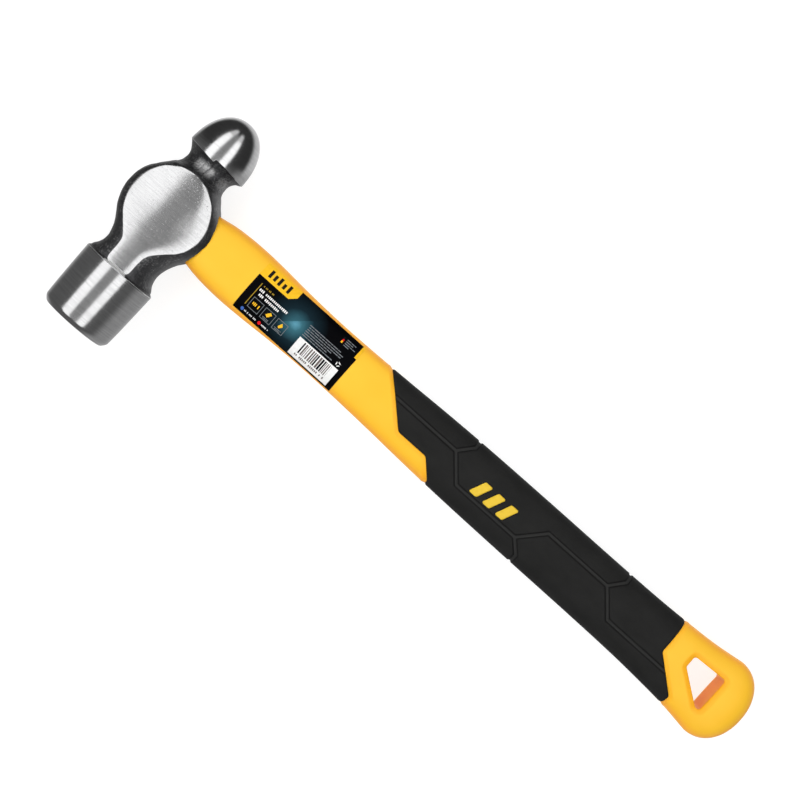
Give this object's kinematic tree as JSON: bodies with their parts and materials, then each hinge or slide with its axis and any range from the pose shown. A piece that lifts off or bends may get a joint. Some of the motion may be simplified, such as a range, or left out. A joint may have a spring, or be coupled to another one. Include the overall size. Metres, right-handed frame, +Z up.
{
  "type": "ball peen hammer",
  "caption": "Ball peen hammer with a forged steel head, a fibreglass core, a two-colour moulded handle with a soft grip, and a hanging hole.",
  "frame": {"origin": "bench surface under the middle of the hammer's bounding box, the hammer lying on one cheek", "axes": "+X along the handle from the head to the hanging hole, +Y along the head from the striking face to the ball, +Z up out of the bench"},
  "size_m": [0.3818, 0.1252, 0.0394],
  "materials": {
    "steel": "ground and polished faces, dark satin where forged",
    "fibreglass": "pultruded fibreglass, satin",
    "epoxy": "cast epoxy",
    "yellow_plastic": "satin",
    "black_rubber": "fine matt grain",
    "label_film": "printed film, gloss"
  },
  "bodies": {
    "root": {"head": "steel", "fibreglass_core": "fibreglass", "eye_potting": "epoxy", "handle_jacket": "yellow_plastic", "grip_sleeve": "black_rubber", "label": "label_film"}
  },
  "joints": []
}
